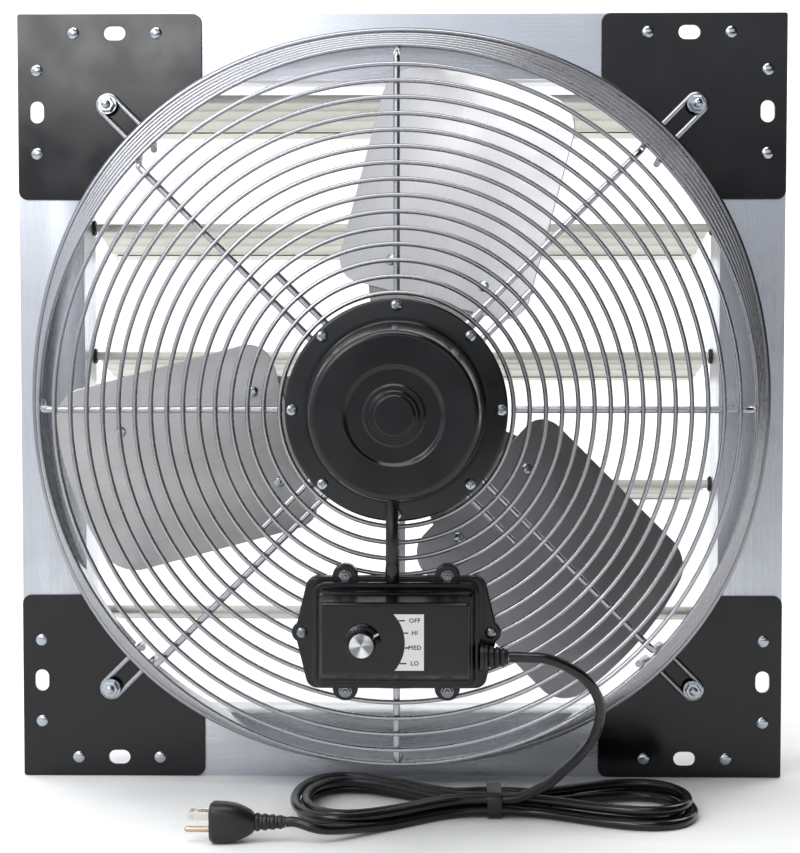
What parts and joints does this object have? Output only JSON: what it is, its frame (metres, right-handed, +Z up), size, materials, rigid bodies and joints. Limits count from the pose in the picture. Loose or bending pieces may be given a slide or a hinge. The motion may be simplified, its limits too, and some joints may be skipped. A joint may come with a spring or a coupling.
{
  "type": "wall shutter exhaust fan",
  "caption": "Square wall exhaust fan: a guarded axial wheel on a rod-hung motor in a sheet ring on an angle frame, with a gravity shutter behind, a speed dial and a tied power cord.",
  "frame": {"origin": "centre of the square opening, on the plane of the flange backs that lie on the wall", "axes": "+X to the right as seen from the room, +Y through the wall to the outdoors, +Z up"},
  "size_m": [0.686, 0.506, 0.686],
  "materials": {
    "mill_aluminium": "extruded, satin",
    "black_plate": "gloss black",
    "zinc": "zinc plated",
    "spun_aluminium": "bright sheet",
    "grey_wire": "satin grey",
    "steel_rod": "bright drawn",
    "black_cast": "satin black",
    "ground_steel": "ground",
    "laminations": "stacked sheet",
    "blade_aluminium": "mill sheet",
    "spider": "grey",
    "cream_slat": "cream paint",
    "black_nylon": "moulded",
    "tie_aluminium": "mill",
    "black_moulding": "satin black",
    "switch_grey": "moulded",
    "dial_white": "printed plate",
    "cord_jacket": "gloss black",
    "plug_black": "moulded",
    "nickel": "nickel plated"
  },
  "bodies": {
    "housing": {"frame_top": "mill_aluminium", "frame_right": "mill_aluminium", "frame_bottom": "mill_aluminium", "frame_left": "mill_aluminium", "corner_plate_tr": "black_plate", "corner_plate_br": "black_plate", "corner_plate_bl": "black_plate", "corner_plate_tl": "black_plate", "corner_bolt_tr": "zinc", "corner_bolt_br": "zinc", "corner_bolt_bl": "zinc", "corner_bolt_tl": "zinc", "venturi_ring": "spun_aluminium", "guard_face": "grey_wire", "guard_side": "grey_wire", "strut_tr": "steel_rod", "strut_tl": "steel_rod", "strut_bl": "steel_rod", "strut_br": "steel_rod", "motor_flange": "black_cast", "motor_housing": "black_cast", "bearing_rear": "ground_steel", "bearing_front": "ground_steel", "motor_stator": "laminations", "louver_bush_1_left": "black_nylon", "louver_bush_1_right": "black_nylon", "louver_bush_2_left": "black_nylon", "louver_bush_2_right": "black_nylon", "louver_bush_3_left": "black_nylon", "louver_bush_3_right": "black_nylon", "louver_bush_4_left": "black_nylon", "louver_bush_4_right": "black_nylon", "louver_bush_5_left": "black_nylon", "louver_bush_5_right": "black_nylon", "control_box_base": "black_moulding", "control_box_cover": "black_moulding", "speed_switch": "switch_grey", "dial_plate": "dial_white", "motor_lead": "cord_jacket", "cord_grip": "cord_jacket", "power_cord": "cord_jacket", "cord_hank": "cord_jacket", "cord_tie": "cord_jacket", "plug_body": "plug_black", "plug_blade_near": "nickel", "plug_blade_far": "nickel", "plug_ground_pin": "nickel"},
    "fan_wheel": {"motor_shaft": "ground_steel", "motor_rotor": "laminations", "fan_spider": "spider", "blade_1": "blade_aluminium", "blade_2": "blade_aluminium", "blade_3": "blade_aluminium"},
    "louver_1": {"louver_1": "cream_slat"},
    "louver_2": {"louver_2": "cream_slat"},
    "louver_3": {"louver_3": "cream_slat"},
    "louver_4": {"louver_4": "cream_slat"},
    "louver_5": {"louver_5": "cream_slat"},
    "tie_bar": {"tie_bar": "tie_aluminium"},
    "speed_knob": {"speed_knob": "black_moulding"}
  },
  "joints": [
    {"name": "fan_spin", "type": "hinge", "parent": "housing", "child": "fan_wheel", "pos_m": [0, 0, 0], "axis": [0, 1, 0], "continuous": true},
    {"name": "louver_1_swing", "type": "hinge", "parent": "housing", "child": "louver_1", "pos_m": [0, 0.05, 0.273], "axis": [1, 0, 0], "range_deg": [-74, 7]},
    {"name": "louver_2_swing", "type": "hinge", "parent": "housing", "child": "louver_2", "pos_m": [0, 0.05, 0.155], "axis": [1, 0, 0], "range_deg": [-74, 7]},
    {"name": "louver_3_swing", "type": "hinge", "parent": "housing", "child": "louver_3", "pos_m": [0, 0.05, 0.037], "axis": [1, 0, 0], "range_deg": [-74, 7]},
    {"name": "louver_4_swing", "type": "hinge", "parent": "housing", "child": "louver_4", "pos_m": [0, 0.05, -0.081], "axis": [1, 0, 0], "range_deg": [-74, 7]},
    {"name": "louver_5_swing", "type": "hinge", "parent": "housing", "child": "louver_5", "pos_m": [0, 0.05, -0.199], "axis": [1, 0, 0], "range_deg": [-74, 7]},
    {"name": "tie_bar_pivot", "type": "hinge", "parent": "louver_1", "child": "tie_bar", "pos_m": [0, 0.03873, 0.24882], "axis": [1, 0, 0], "range_deg": [-7, 74]},
    {"name": "knob_turn", "type": "hinge", "parent": "housing", "child": "speed_knob", "pos_m": [-0.025, -0.30045, -0.174], "axis": [0, 1, 0], "range_deg": [0, 54]}
  ],
  "couplings": [
    {"joint": "louver_2_swing", "follows": "louver_1_swing", "ratio": 1},
    {"joint": "louver_3_swing", "follows": "louver_1_swing", "ratio": 1},
    {"joint": "louver_4_swing", "follows": "louver_1_swing", "ratio": 1},
    {"joint": "louver_5_swing", "follows": "louver_1_swing", "ratio": 1},
    {"joint": "tie_bar_pivot", "follows": "louver_1_swing", "ratio": -1}
  ]
}
